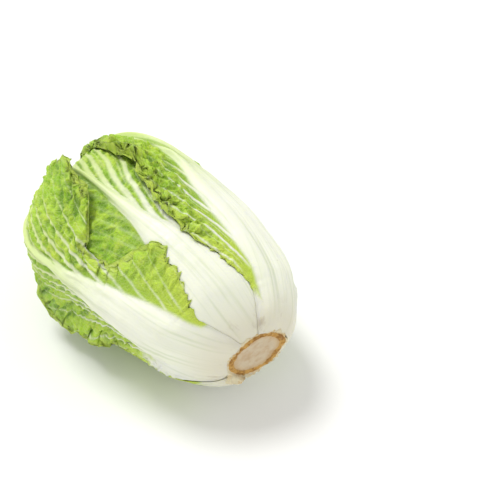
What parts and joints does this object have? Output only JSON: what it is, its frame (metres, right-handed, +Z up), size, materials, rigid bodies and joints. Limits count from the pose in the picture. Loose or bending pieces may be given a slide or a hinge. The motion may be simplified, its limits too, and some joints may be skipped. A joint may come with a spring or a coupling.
{
  "type": "napa cabbage",
  "caption": "Head of napa cabbage lying on its flank, with white ribs, savoyed green blades, frilled leaf edges and a cut root end.",
  "frame": {"origin": "middle of the head's footprint, on the surface that it lies on", "axes": "+X along the head towards the cut root end, +Z up"},
  "size_m": [0.2816, 0.2134, 0.2029],
  "materials": {
    "leaf": "white satin rib, savoyed yellow-green to mid-green blade, raised white veins",
    "heart": "satin, paler yellow-green inner leaves with white veins",
    "stem": "dull cut flesh, pinkish beige with a brown dried ring"
  },
  "bodies": {
    "root": {"stem": "stem", "heart": "heart", "leaf_top": "leaf", "leaf_front": "leaf", "leaf_back": "leaf", "leaf_low_front": "leaf", "leaf_low_back": "leaf", "leaf_under": "leaf"}
  },
  "joints": []
}
